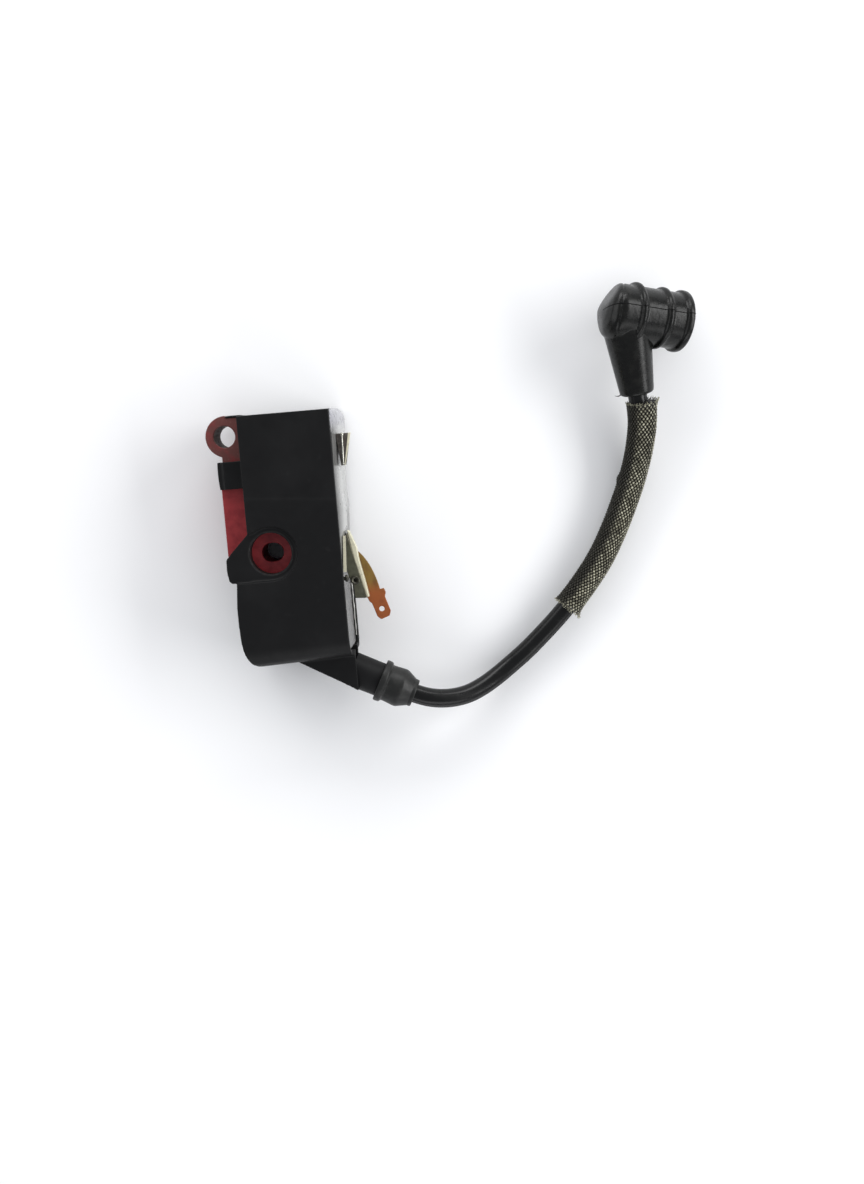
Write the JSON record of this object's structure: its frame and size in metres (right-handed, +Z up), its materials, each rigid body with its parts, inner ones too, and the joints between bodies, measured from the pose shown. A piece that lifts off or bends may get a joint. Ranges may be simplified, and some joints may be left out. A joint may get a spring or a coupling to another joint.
{
  "type": "ignition coil",
  "caption": "Resin-filled ignition coil with a lacquered laminated core, mounting eye and slot, side terminals, and an HT lead with a braided sleeve and an elbow plug boot.",
  "frame": {"origin": "centre of the footprint of the coil body, its core and its terminals, on the surface that the tub's flat back lies on", "axes": "+Z up out of that surface, through the core's mounting holes; +Y along the tub towards the end with the mounting eye; +X towards the open, resin-filled side where the terminals and the HT lead are"},
  "size_m": [0.1357, 0.1134, 0.024],
  "materials": {
    "tub_plastic": "moulded glass-filled nylon, satin black, fine grain",
    "potting_resin": "cast grey epoxy, smooth meniscus at the rim, dusty lower down",
    "core_lacquer": "rose-red lacquer over stacked steel laminations, dusty on the end faces",
    "bare_lamination": "bare silicon-steel laminations",
    "bobbin_plastic": "natural glass-filled polyester",
    "winding_wire": "enamelled copper wire in close turns",
    "board_laminate": "green solder mask",
    "capacitor_shell": "dipped film-capacitor shell",
    "component_shell": "black moulded epoxy",
    "resistor_shell": "tan lacquer",
    "plated_metal": "bright tin plate",
    "cap_rubber": "moulded black rubber",
    "olive_plate": "olive-yellow passivated steel",
    "terminal_brass": "toned brass, dark at the sheared edges",
    "lead_jacket": "smooth black jacket with a fine mould line",
    "glass_braid": "varnished glass-fibre braid, frayed ends",
    "boot_rubber": "glossy moulded black rubber"
  },
  "bodies": {
    "module": {"housing": "tub_plastic", "potting_resin": "potting_resin", "upper_core_stack": "core_lacquer", "lower_core_stack": "core_lacquer", "coil_core_stack": "bare_lamination", "primary_bobbin": "bobbin_plastic", "primary_winding": "winding_wire", "secondary_bobbin": "bobbin_plastic", "secondary_winding_1": "winding_wire", "secondary_winding_2": "winding_wire", "secondary_winding_3": "winding_wire", "secondary_winding_4": "winding_wire", "circuit_board": "board_laminate", "capacitor": "capacitor_shell", "power_transistor": "component_shell", "control_thyristor": "component_shell", "clamp_diode": "component_shell", "trigger_resistor": "resistor_shell", "ht_link_wire": "winding_wire", "ht_contact_spike": "plated_metal", "outlet_snout": "tub_plastic", "outlet_cap": "cap_rubber", "earth_bracket": "olive_plate", "bracket_eyelet": "plated_metal", "bracket_pin": "plated_metal", "stop_terminal": "terminal_brass", "earth_lug": "olive_plate", "lug_pin": "plated_metal", "ht_lead": "lead_jacket", "braided_sleeve": "glass_braid"},
    "boot": {"plug_boot": "boot_rubber", "plug_contact_spring": "plated_metal"}
  },
  "joints": [
    {"name": "boot_swivel", "type": "hinge", "parent": "module", "child": "boot", "pos_m": [0.0904, 0.0612, 0.01435], "axis": [0.1073, -0.9722, -0.2079], "range_deg": [0, 180]}
  ]
}
